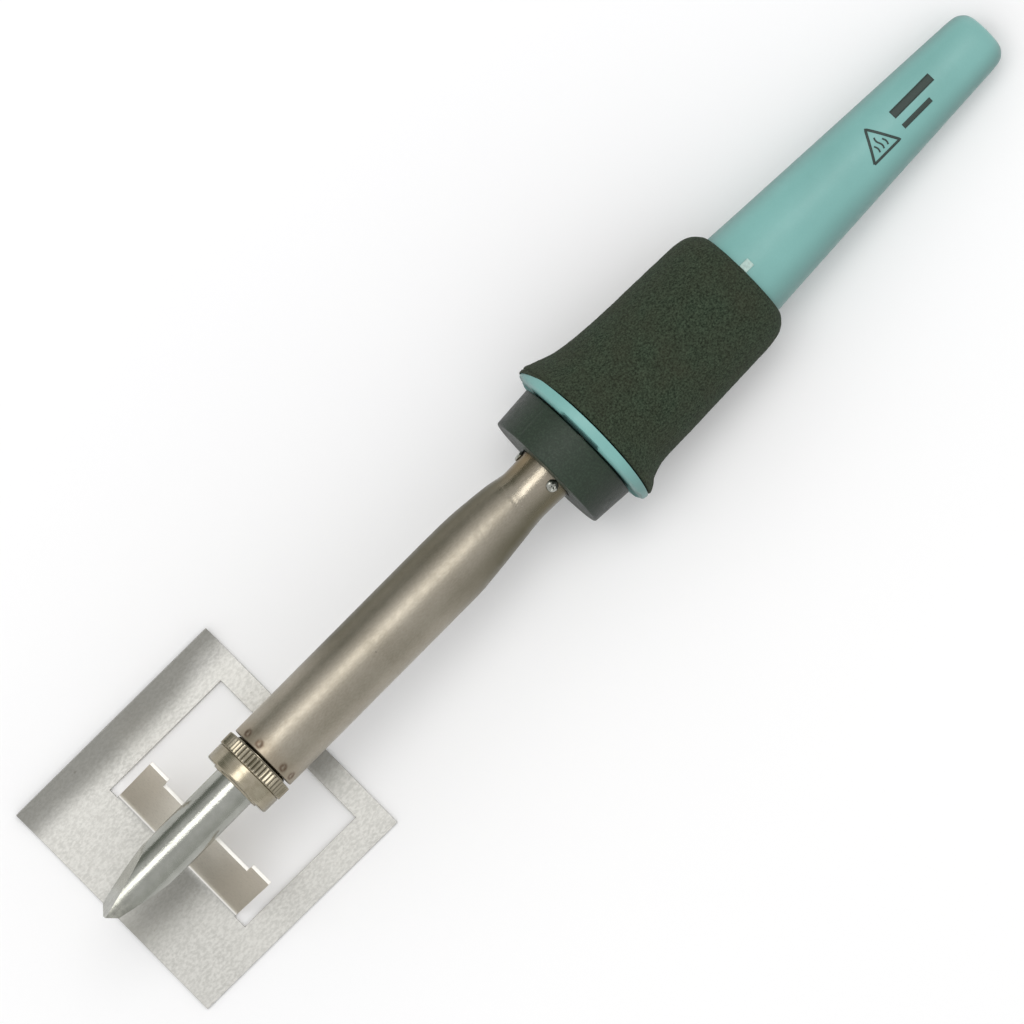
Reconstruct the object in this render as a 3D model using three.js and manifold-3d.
// Mains soldering iron with a magnetic thermostat, lying on its sheet-metal bench stand.
// Millimetres, +Z up, bench at Z = 0. The iron is drawn along its own +X axis: station 0 is the end
// of the tip and stations grow towards the rear of the handle. It is then tilted, tip up, so that
// the shank lies in the stand's saddle and the rear of the handle rests on the bench.
import * as THREE from "three";
import { mergeVertices } from "three/addons/utils/BufferGeometryUtils.js";
import Module from "manifold-3d";

const wasm = await Module();
wasm.setup();

// ---- Driving dimensions ----
const FIT = 0.3; // gap left between pieces that touch
const ROUND = 48; // sides of a visible turned piece
const HIDDEN = 24; // sides of an inner turned piece

const TILT = THREE.MathUtils.degToRad(6.2); // slope of the iron, tip up

const SHEET = 0.8; // thickness of the stand
const STAND = { start: -1.6, length: 53.7, width: 54.7, skew: THREE.MathUtils.degToRad(-0.55) };
const WINDOW = { start: 15.4, length: 31.4, low: -20.8, high: 17.8 }; // across limits from the middle
const TAB = { width: 33.6, shift: -1.1, bend: 1.1, lean: THREE.MathUtils.degToRad(68.3) };
const SADDLE = { width: 23.7, shift: -1.1, depth: 4.2, clearance: 0.06 };
const IRON_SHIFT = 0.7; // the iron lies this far off the stand's middle

const TIP = { r: 4.765, collarR: 6, spigotR: 4, neck: 38.3, collar: 2, spigotEnd: 62 };
const FLATS = { angle: THREE.MathUtils.degToRad(13.4), half: 0.75, start: 16.7 };
const POINT = { slope: THREE.MathUtils.degToRad(46), half: 0.25 }; // the two short faces at the very end
const SENSOR = { r: 3.4, length: 3.7 };

const NUT = { start: 36.86, knurl: 40.7, end: 43.76, r: 7.93, knurlR: 8.08, bore: 6.75, lipR: 5.1 };
const NUT_FACE = 1.14; // thickness of the nut's front wall
const KNURL = { teeth: 48, depth: 0.28 };

const BUSH = { start: 40.6, shoulder: 44.75, end: 52.5, r: 6.85, threadR: 6.35, boreR: 4.5 };
const BARREL = { start: 44.45, end: 133.3, wall: 0.5, flangeR: 10.6, flange: 1.2 };
const HEATER = { start: 46.8, end: 103.5, boreR: 4.4, r: 5, coilStart: 53.6, coilEnd: 100.2 };
const COIL_TURNS = 12; // ridges drawn on the winding

const COLLAR = { start: 124.2, end: 133.2, holeR: 6.35, r: 13.74, rearR: 14.33, wall: 2.2 };
const FLANGE = { start: 133.6, end: 135.3, r: 17.5 };
const GRIP = { start: 135.6, end: 179.6, boreR: 10.3 };
const HANDLE = { tubeR: 9.98, neckR: 6.5, neckEnd: 141, end: 248.4, holeR: 3.5, endWall: 244.6 };

const NECK_SCREW = { station: 122.9, angles: [-27, 93, 213], headR: 1, head: 0.75, shankR: 0.45 };
const NECK_SEAT = 6.15; // radius at which the neck screws' heads sit
const FLANGE_SCREW = { at: 8.3, angles: [0, 120, 240], headR: 1.5, shankR: 0.8, end: 139.5 };
const RECESS = { angles: [4, 94, 184, 274], half: 5, depth: 0.5, floor: 13.4 };

const ROD = { r: 0.85, start: 73.9, end: 163 };
const MAGNET = { start: 66.6, length: 7, r: 3.9 };
const GUIDE = { start: 104.2, end: 131.5, r: 1.9, boreR: 1.25 };
const SPRING = { start: 135.4, end: 147.4, r: 2.6, wireR: 0.28, turns: 6 };
const LEAD_R = 0.5;
const BLOCK = { start: 196, length: 10, width: 10.4, height: 6, pitch: 3.4 };
const CLAMP = { station: 216, length: 5, width: 8.6, height: 1.4, gap: 2, pitch: 3 };

// ---- Materials ----
const finish = (color, roughness, metalness) =>
  new THREE.MeshStandardMaterial({ color, roughness, metalness });
const MATERIALS = {
  zinc_sheet: finish(0xc9c9c6, 0.45, 0.9),
  tip_plate: finish(0x9aa3a4, 0.28, 1),
  nickel: finish(0xa39b85, 0.35, 1),
  steel: finish(0x96908a, 0.4, 1),
  dark_plastic: finish(0x333c34, 0.55, 0),
  teal_plastic: finish(0x85bab4, 0.42, 0),
  foam: finish(0x343e32, 0.95, 0),
  ceramic: finish(0xe6e0d2, 0.6, 0),
  wire: finish(0x8d8a84, 0.45, 1),
  mica: finish(0xb79a62, 0.5, 0),
  brass: finish(0xb5974f, 0.35, 1),
  black_plastic: finish(0x1d1d1f, 0.5, 0),
  white_sleeve: finish(0xe4e2da, 0.7, 0),
  green_sleeve: finish(0x4d7a3a, 0.7, 0),
  magnet_alloy: finish(0x5c5c60, 0.5, 1),
};

// ---- Helpers ----
// A geometry as a manifold solid.
function solid(geometry) {
  const bare = geometry.clone();
  bare.deleteAttribute("normal");
  bare.deleteAttribute("uv");
  const merged = mergeVertices(bare, 1e-4);
  return new wasm.Manifold(
    new wasm.Mesh({
      numProp: 3,
      vertProperties: merged.attributes.position.array,
      triVerts: new Uint32Array(merged.index.array),
    }),
  );
}

// A manifold solid as a geometry.
function geometryOf(body) {
  const mesh = body.getMesh();
  const geometry = new THREE.BufferGeometry();
  geometry.setAttribute("position", new THREE.BufferAttribute(mesh.vertProperties, 3));
  geometry.setIndex(new THREE.BufferAttribute(mesh.triVerts, 1));
  return geometry;
}

// A solid turned about the X axis from a profile of [station, radius] pairs. The outside is
// listed with growing stations; a profile that leaves the axis free is closed on itself.
function turned(profile, sides = ROUND) {
  const points = profile.map(([station, radius]) => new THREE.Vector2(radius, station));
  const onAxis = profile[0][1] === 0;
  if (!onAxis) points.push(points[0].clone());
  const geometry = new THREE.LatheGeometry(points, sides);
  geometry.rotateZ(-Math.PI / 2);
  return solid(geometry);
}

// A tube or rod between two stations.
function tube(start, end, radius, bore = 0, sides = HIDDEN) {
  const inner = [[end, bore], [start, bore]];
  const outer = [[start, radius], [end, radius]];
  return turned(bore > 0 ? [...outer, ...inner] : [[start, 0], ...outer, [end, 0]], sides);
}

// A box given by its low and high corners.
function box(low, high) {
  const size = high.map((value, axis) => value - low[axis]);
  const geometry = new THREE.BoxGeometry(...size);
  geometry.translate(...low.map((value, axis) => value + size[axis] / 2));
  return solid(geometry);
}

// A round pin along Z between two heights, centred at x, y.
function pin(x, y, low, high, radius, sides = 12) {
  const geometry = new THREE.CylinderGeometry(radius, radius, high - low, sides);
  geometry.rotateX(Math.PI / 2);
  geometry.translate(x, y, (low + high) / 2);
  return solid(geometry);
}

// A flat outline of [x, y] pairs, with holes, extruded along Z.
function extruded(outline, depth, holes = []) {
  const shape = new THREE.Shape(outline.map(([x, y]) => new THREE.Vector2(x, y)));
  for (const hole of holes) {
    shape.holes.push(new THREE.Path(hole.map(([x, y]) => new THREE.Vector2(x, y))));
  }
  return new THREE.ExtrudeGeometry(shape, { depth, bevelEnabled: false });
}

// Turns a solid round the iron's axis by degrees, from the top towards +Y.
const roundAxis = (body, degrees) => body.rotate([-degrees, 0, 0]);

// A solid with several tools taken out of it.
const cut = (body, tools) => tools.reduce((rest, tool) => rest.subtract(tool), body);

// A round wire swept along a path of [x, y, z] points.
function wire(points, radius, steps, sides = 8) {
  const knots = points.map((point) => new THREE.Vector3(...point));
  const path = new THREE.CatmullRomCurve3(knots, false, "centripetal");
  const section = new THREE.Shape();
  section.absarc(0, 0, radius, 0, 2 * Math.PI);
  const options = { steps, extrudePath: path, curveSegments: sides, bevelEnabled: false };
  return solid(new THREE.ExtrudeGeometry(section, options));
}

const stand = new THREE.Group();
const iron = new THREE.Group();

// Adds a solid to a group as a named mesh.
function place(name, body, material, parent = iron) {
  const mesh = new THREE.Mesh(geometryOf(body), MATERIALS[material]);
  mesh.name = name;
  parent.add(mesh);
}

// ---- Tip, sensor and nut ----
const collarEnd = TIP.neck + TIP.collar;
const tipBlank = turned([
  [0, 0],
  [0, TIP.r - 0.8],
  [0.2, TIP.r - 0.3],
  [0.7, TIP.r],
  [TIP.neck, TIP.r],
  [TIP.neck, TIP.collarR],
  [collarEnd, TIP.collarR],
  [collarEnd, TIP.spigotR],
  [TIP.spigotEnd, TIP.spigotR],
  [TIP.spigotEnd, 0],
]);
// Two tools that leave a wedge: its faces start half off the axis at station 0 and open at slope.
const wedgeTools = (half, slope, angle) =>
  [0, 180].map((side) => {
    const slab = box([-10, 0, -10], [FLATS.start + 10, 10, 10]);
    const sloped = slab.rotate([0, 0, THREE.MathUtils.radToDeg(slope)]).translate([0, half, 0]);
    return sloped.rotate([THREE.MathUtils.radToDeg(angle) + side, 0, 0]);
  });
const flatSlope = Math.atan2(TIP.r - FLATS.half, FLATS.start);
const flatTools = wedgeTools(FLATS.half, flatSlope, FLATS.angle);
place("tip", cut(tipBlank, [...flatTools, ...wedgeTools(POINT.half, POINT.slope, 0)]), "tip_plate");

const sensorStart = TIP.spigotEnd + FIT;
place("tip_sensor", tube(sensorStart, sensorStart + SENSOR.length, SENSOR.r), "magnet_alloy");

const nutBlank = turned([
  [NUT.start, NUT.lipR],
  [NUT.start, NUT.r - 0.45],
  [NUT.start + 0.12, NUT.r - 0.15],
  [NUT.start + 0.4, NUT.r],
  [NUT.knurl, NUT.r],
  [NUT.knurl, NUT.r - 0.2],
  [NUT.end, NUT.r - 0.2],
  [NUT.end, NUT.bore],
  [NUT.start + NUT_FACE, NUT.bore],
  [NUT.start + NUT_FACE, NUT.lipR],
]);
const knurlOutline = [];
for (let i = 0; i < KNURL.teeth * 4; i += 1) {
  const angle = (i / (KNURL.teeth * 4)) * 2 * Math.PI;
  const radius = i % 4 < 2 ? NUT.knurlR : NUT.knurlR - KNURL.depth;
  knurlOutline.push([radius * Math.cos(angle), radius * Math.sin(angle)]);
}
const knurlHole = [];
for (let i = ROUND; i > 0; i -= 1) {
  const angle = (i / ROUND) * 2 * Math.PI;
  knurlHole.push([(NUT.bore + 0.3) * Math.cos(angle), (NUT.bore + 0.3) * Math.sin(angle)]);
}
const knurlLength = NUT.end - NUT.knurl - 0.4;
const knurlBand = solid(extruded(knurlOutline, knurlLength, [knurlHole]).rotateY(Math.PI / 2));
place("tip_nut", nutBlank.add(knurlBand.translate([NUT.knurl + 0.2, 0, 0])), "nickel");

// ---- Barrel and its bush ----
const thread = [];
for (let station = BUSH.start + 0.9; station < BUSH.shoulder - 0.9; station += 1) {
  thread.push([station, BUSH.threadR], [station + 0.45, BUSH.threadR - 0.35], [station + 0.9, BUSH.threadR]);
}
place(
  "barrel_bush",
  turned([
    [BUSH.start, BUSH.boreR],
    [BUSH.start, BUSH.threadR - 0.5],
    [BUSH.start + 0.5, BUSH.threadR],
    ...thread,
    [BUSH.shoulder, BUSH.threadR],
    [BUSH.shoulder, BUSH.r],
    [BUSH.end, BUSH.r],
    [BUSH.end, HEATER.r + 0.4],
    [HEATER.start - 0.4, HEATER.r + 0.4],
    [HEATER.start - 0.4, BUSH.boreR],
  ]),
  "nickel",
);

const barrelOuter = [
  [BARREL.start, 7.5],
  [BARREL.start + 0.15, 7.65],
  [97, 7.65],
  [100.5, 7.58],
  [103.2, 7.42],
  [106, 7.17],
  [109, 6.87],
  [112, 6.52],
  [115, 6.1],
  [116.6, 5.87],
  [118, 5.76],
  [120.5, 5.8],
  [COLLAR.start, 5.95],
];
const barrelInner = barrelOuter.slice(2).map(([station, radius]) => [station, radius - BARREL.wall]);
const flangeStart = BARREL.end - BARREL.flange;
const barrelTube = turned([
  ...barrelOuter,
  [flangeStart, 6],
  [flangeStart, BARREL.flangeR],
  [BARREL.end, BARREL.flangeR],
  [BARREL.end, 5.5],
  ...barrelInner.reverse(),
  [BARREL.start, 7.65 - BARREL.wall],
]);
const neckHoles = NECK_SCREW.angles.map((angle) =>
  roundAxis(pin(NECK_SCREW.station, 0, 4, 8, NECK_SCREW.shankR + 0.25), angle),
);
const flangeHoles = FLANGE_SCREW.angles.map((angle) => {
  const hole = tube(120, FLANGE_SCREW.end + 1, FLANGE_SCREW.shankR + FIT, 0, 12);
  return roundAxis(hole.translate([0, 0, FLANGE_SCREW.at]), angle);
});
place("barrel", cut(barrelTube, [...neckHoles, ...flangeHoles]), "steel");

NECK_SCREW.angles.forEach((angle, i) => {
  const { station, headR, head, shankR } = NECK_SCREW;
  const headTop = NECK_SEAT + head;
  const top = pin(station, 0, NECK_SEAT, headTop, headR, 16);
  const slot = box([station - 0.15, -2, headTop - 0.3], [station + 0.15, 2, headTop + 1]);
  const screw = cut(top.add(pin(station, 0, 5.25, NECK_SEAT + 0.1, shankR, 10)), [slot]);
  place(`neck_screw_${i + 1}`, roundAxis(screw, angle), "nickel");
});

// ---- Heater ----
place("heater_former", tube(HEATER.start, HEATER.end, HEATER.r, HEATER.boreR), "ceramic");
const coil = [];
const coilPitch = (HEATER.coilEnd - HEATER.coilStart) / COIL_TURNS;
for (let i = 0; i < COIL_TURNS; i += 1) {
  const station = HEATER.coilStart + i * coilPitch;
  coil.push([station, 5.5], [station + coilPitch * 0.3, 5.9], [station + coilPitch * 0.7, 5.9]);
}
const coilBore = HEATER.r + FIT;
const winding = [[HEATER.coilStart, coilBore], ...coil, [HEATER.coilEnd, 5.5], [HEATER.coilEnd, coilBore]];
place("heater_winding", turned(winding, 16), "wire");
place("heater_wrap", tube(HEATER.coilStart - 0.4, HEATER.coilEnd + 0.8, 6.6, 6.25), "mica");

const leadHoles = (start, end, across) =>
  [across, -across].map((y) => tube(start, end, LEAD_R + 0.4, 0, 12).translate([0, y, 0]));
place(
  "former_ring",
  cut(tube(HEATER.end + FIT, HEATER.end + 2.6, 6.3, GUIDE.r + FIT), leadHoles(100, 110, 3.6)),
  "ceramic",
);
place("guide_tube", tube(GUIDE.start, GUIDE.end, GUIDE.r, GUIDE.boreR, 16), "steel");
place("guide_plug", cut(tube(120.5, 126, 4.9, GUIDE.r + FIT), leadHoles(118, 128, 4.3)), "ceramic");

// ---- Thermostat train ----
place("magnet", tube(MAGNET.start, MAGNET.start + MAGNET.length, MAGNET.r), "magnet_alloy");
place("push_rod", tube(ROD.start, ROD.end, ROD.r, 0, 12), "steel");
place("spring_cup", tube(SPRING.end + FIT, SPRING.end + 1.6, 3.1, ROD.r + FIT), "brass");
place("moving_contact", box([ROD.end + FIT, -3.8, -1.2], [ROD.end + FIT + 1.5, 3.8, 1.2]), "brass");
const helixSteps = SPRING.turns * 12;
const helixLength = SPRING.end - SPRING.start - 2 * SPRING.wireR;
const helix = [];
for (let i = 0; i <= helixSteps; i += 1) {
  const share = i / helixSteps;
  const angle = share * SPRING.turns * 2 * Math.PI;
  const station = SPRING.start + SPRING.wireR + share * helixLength;
  helix.push([station, SPRING.r * Math.cos(angle), SPRING.r * Math.sin(angle)]);
}
place("return_spring", wire(helix, SPRING.wireR, helixSteps, 3), "steel");
const earthHole = tube(130, 140, LEAD_R + 0.4, 0, 12).translate([0, 0, 4.6]);
const seatBlank = tube(SPRING.start - 1.3, SPRING.start - FIT, 6.2, ROD.r + FIT);
place("spring_seat", cut(seatBlank, [...leadHoles(130, 140, 4.3), earthHole]), "ceramic");

// ---- Switch ----
place("switch_frame", box([153, -5, -5.5], [175, 5, -3.3]), "black_plastic");
const contactStart = ROD.end - 1;
// A contact standing on a foot, with its low side at across and its foot from start to end.
function fixedContact(across, start, end) {
  const upright = box([contactStart, across, -3], [ROD.end, across + 2.8, 1.5]);
  return upright.add(box([start, across, -3], [end, across + 2.8, -2.3]));
}
place("fixed_contact_left", fixedContact(1.6, contactStart, 171), "brass");
place("fixed_contact_right", fixedContact(-4.4, 155, ROD.end), "brass");

// ---- Leads ----
const blockEdge = BLOCK.start - FIT;
const leads = [
  {
    name: "heater_lead_left",
    material: "white_sleeve",
    steps: 40,
    route: [
      [97, 3.6, 0],
      [104, 3.6, 0],
      [112, 4.2, 0],
      [120, 4.3, 0],
      [140, 4.3, 0],
      [151, 6.5, 0],
      [184, 6.5, 0],
      [blockEdge, BLOCK.pitch, 0],
    ],
  },
  {
    name: "heater_lead_right",
    material: "white_sleeve",
    steps: 30,
    route: [
      [97, -3.6, 0],
      [104, -3.6, 0],
      [112, -4.2, 0],
      [120, -4.3, 0],
      [136, -4.3, 0],
      [148, -4.4, -0.4],
      [153, -3.4, -1.4],
      [159, -3, -1.4],
    ],
  },
  {
    name: "switch_lead",
    material: "white_sleeve",
    steps: 14,
    route: [
      [168.5, 3, -1.4],
      [176, 3, -1],
      [186, 1.5, 0],
      [blockEdge, 0, 0],
    ],
  },
  {
    name: "earth_lead",
    material: "green_sleeve",
    steps: 30,
    route: [
      [129.5, 0, 4.6],
      [140, 0, 4.6],
      [151, 0, 6.6],
      [182, 0, 6.2],
      [190, -2, 4],
      [blockEdge, -BLOCK.pitch, 0.6],
    ],
  },
];
for (const { name, material, steps, route } of leads) {
  place(name, wire(route, LEAD_R, steps, 3), material);
}

// ---- Terminal block and cord clamp ----
const blockMiddle = BLOCK.start + BLOCK.length / 2;
const terminals = [BLOCK.pitch, 0, -BLOCK.pitch];
const blockBody = box(
  [BLOCK.start, -BLOCK.width / 2, -BLOCK.height / 2],
  [BLOCK.start + BLOCK.length, BLOCK.width / 2, BLOCK.height / 2],
);
place(
  "terminal_block",
  cut(blockBody, terminals.map((y) => pin(blockMiddle, y, 0, BLOCK.height, 1.35))),
  "black_plastic",
);
terminals.forEach((y, i) => {
  place(`terminal_screw_${i + 1}`, pin(blockMiddle, y, FIT, BLOCK.height / 2 - 0.4, 1.05), "brass");
});

const clampMiddle = CLAMP.station + CLAMP.length / 2;
const clampSides = [CLAMP.pitch, -CLAMP.pitch];
const clampLow = CLAMP.gap - 0.4;
const clampHoles = clampSides.map((y) => pin(clampMiddle, y, -6, 6, 0.8));
function clampBar(low) {
  const half = CLAMP.width / 2;
  const bar = box([CLAMP.station, -half, low], [CLAMP.station + CLAMP.length, half, low + CLAMP.height]);
  return cut(bar, clampHoles);
}
place("cord_clamp", clampBar(clampLow), "black_plastic");
place("clamp_base", clampBar(-CLAMP.gap - CLAMP.height), "black_plastic");
clampSides.forEach((y, i) => {
  const headLow = clampLow + CLAMP.height + FIT;
  const head = pin(clampMiddle, y, headLow, headLow + 0.6, 1);
  const shank = pin(clampMiddle, y, -CLAMP.gap - CLAMP.height, headLow + 0.1, 0.5, 10);
  place(`clamp_screw_${i + 1}`, head.add(shank), "steel");
});

// ---- Collar, handle, grip and inlet bush ----
const collarShell = turned([
  [COLLAR.start, COLLAR.holeR],
  [COLLAR.start, COLLAR.r - 0.55],
  [COLLAR.start + 0.15, COLLAR.r - 0.15],
  [COLLAR.start + 0.5, COLLAR.r],
  [COLLAR.end, COLLAR.rearR],
  [COLLAR.end, COLLAR.rearR - COLLAR.wall],
  [COLLAR.start + COLLAR.wall, COLLAR.r - COLLAR.wall],
  [COLLAR.start + COLLAR.wall, COLLAR.holeR],
]);
const partingLine = roundAxis(box([120, -0.15, COLLAR.r - 0.12], [140, 0.15, 20]), 41);
place("front_collar", collarShell.subtract(partingLine), "dark_plastic");

FLANGE_SCREW.angles.forEach((angle, i) => {
  const head = tube(flangeStart - 1.7, flangeStart - FIT, FLANGE_SCREW.headR, 0, 16);
  const shank = tube(flangeStart - 0.4, FLANGE_SCREW.end, FLANGE_SCREW.shankR, 0, 10);
  place(
    `collar_screw_${i + 1}`,
    roundAxis(head.add(shank).translate([0, 0, FLANGE_SCREW.at]), angle),
    "steel",
  );
});

const handleOuter = [
  [FLANGE.start, 15.6],
  [FLANGE.start + 0.12, 16.5],
  [FLANGE.start + 0.5, 17.2],
  [FLANGE.start + 1.1, FLANGE.r],
  [FLANGE.end - 0.1, FLANGE.r],
  [FLANGE.end, FLANGE.r - 0.1],
  [FLANGE.end, HANDLE.tubeR],
  [180.3, 9.95],
  [187.6, 9.52],
  [193.6, 9.2],
  [205.7, 8.55],
  [217.7, 7.92],
  [229.8, 7.3],
  [241.9, 6.68],
  [244.9, 6.48],
  [246.6, 6.1],
  [247.7, 5.3],
  [248.2, 4.6],
  [HANDLE.end, 4],
];
const handleShell = turned([
  ...handleOuter,
  [HANDLE.end, HANDLE.holeR],
  [HANDLE.endWall, HANDLE.holeR],
  [HANDLE.endWall, 4.6],
  [200, 7],
  [180, 8],
  [HANDLE.neckEnd, 8.2],
  [HANDLE.neckEnd, HANDLE.neckR],
  [FLANGE.start, HANDLE.neckR],
]);
const rib = box([180.4, -0.2, 9], [182.6, 1.7, 10.5]);
const recess = box(
  [FLANGE.start - 1, -RECESS.half, RECESS.floor],
  [FLANGE.start + RECESS.depth, RECESS.half, FLANGE.r + 1],
);
const recesses = RECESS.angles.map((angle) => roundAxis(recess, angle));
place("handle_shell", cut(handleShell.add(rib), [...recesses, ...flangeHoles]), "teal_plastic");

place(
  "grip_sleeve",
  turned([
    [GRIP.start, GRIP.boreR],
    [GRIP.start, 17.3],
    [GRIP.start + 0.3, 17.48],
    [136.5, 17.42],
    [137.7, 16.95],
    [138.7, 16.4],
    [140.7, 15.68],
    [142.7, 15.2],
    [146.7, 14.85],
    [154.6, 14.45],
    [166.6, 14.05],
    [172.6, 13.88],
    [174.6, 13.7],
    [176.6, 13.25],
    [178, 12.5],
    [178.9, 11.6],
    [179.4, 10.9],
    [GRIP.end, GRIP.boreR + 0.1],
  ]),
  "foam",
);

place(
  "inlet_bush",
  turned([
    [HANDLE.endWall - 1.6, 2.3],
    [HANDLE.endWall - 1.6, 4.2],
    [HANDLE.endWall - FIT, 4.2],
    [HANDLE.endWall - FIT, HANDLE.holeR - FIT],
    [HANDLE.end - 0.1, HANDLE.holeR - FIT],
    [HANDLE.end - 0.1, 2.3],
  ]),
  "black_plastic",
);

// ---- The iron's place: rear of the handle on the bench, shank on the saddle ----
const [sin, cos] = [Math.sin(TILT), Math.cos(TILT)];
const axisHeight = Math.max(...handleOuter.map(([station, radius]) => station * sin + radius * cos));
iron.rotation.y = TILT;
iron.position.set(0, IRON_SHIFT, axisHeight);

// ---- Stand: one sheet with the tab bent up out of its window ----
const bendOuter = TAB.bend + SHEET;
function bendArc(radius, steps) {
  const points = [];
  for (let i = 0; i <= steps; i += 1) {
    const angle = (i / steps) * TAB.lean;
    points.push([WINDOW.start + radius * Math.sin(angle), bendOuter - radius * Math.cos(angle)]);
  }
  return points;
}
const alongTab = [Math.cos(TAB.lean), Math.sin(TAB.lean)];
const innerBend = bendArc(TAB.bend, 5);
const outerBend = bendArc(bendOuter, 5);
const faceStart = innerBend[innerBend.length - 1];
// The tab's upper face is followed up to the underside of the shank, which slopes down by sin / cos.
const shankUnder = axisHeight - TIP.r / cos - SADDLE.clearance;
const faceToShank = shankUnder - faceStart[0] * (sin / cos) - faceStart[1];
const saddleLength = faceToShank / (alongTab[1] + alongTab[0] * (sin / cos));
const tabLength = saddleLength + SADDLE.depth;
const offTab = ([x, z], length) => [x + alongTab[0] * length, z + alongTab[1] * length];
const tabProfile = [
  [WINDOW.start - 1, SHEET],
  ...innerBend,
  offTab(faceStart, tabLength),
  offTab(outerBend[outerBend.length - 1], tabLength),
  ...outerBend.reverse(),
  [WINDOW.start - 1, 0],
].reverse();
const tabGeometry = extruded(tabProfile, TAB.width).rotateX(Math.PI / 2);
const tabSolid = solid(tabGeometry).translate([0, TAB.shift + TAB.width / 2, 0]);
const notchBox = box(
  [0, SADDLE.shift - SADDLE.width / 2, -5],
  [SADDLE.depth * 2, SADDLE.shift + SADDLE.width / 2, 5],
);
const [notchX, notchZ] = offTab(faceStart, saddleLength);
const notch = notchBox.rotate([0, -THREE.MathUtils.radToDeg(TAB.lean), 0]).translate([notchX, 0, notchZ]);

const rectangle = (x0, y0, x1, y1) => [[x0, y0], [x1, y0], [x1, y1], [x0, y1]];
const standEnd = STAND.start + STAND.length;
const windowEnd = WINDOW.start + WINDOW.length;
const plateOutline = rectangle(STAND.start, -STAND.width / 2, standEnd, STAND.width / 2);
const windowOutline = rectangle(WINDOW.start, WINDOW.low, windowEnd, WINDOW.high);
const plate = solid(extruded(plateOutline, SHEET, [windowOutline]));
// The stand's own frame is in the middle of its plate, which lies a little askew under the iron.
const standMiddle = (STAND.start + standEnd) / 2;
const standBody = plate.add(tabSolid).subtract(notch).translate([-standMiddle, 0, 0]);
place("bench_stand", standBody, "zinc_sheet", stand);
stand.position.x = standMiddle;
stand.rotation.z = STAND.skew;

// ---- Whole object, centred over the bench ----
const group = new THREE.Group();
group.name = "soldering_iron_on_stand";
group.add(stand, iron);
const bounds = new THREE.Box3().setFromObject(group, true);
group.position.x = -(bounds.min.x + bounds.max.x) / 2;
group.position.y = -(bounds.min.y + bounds.max.y) / 2;

export default group;
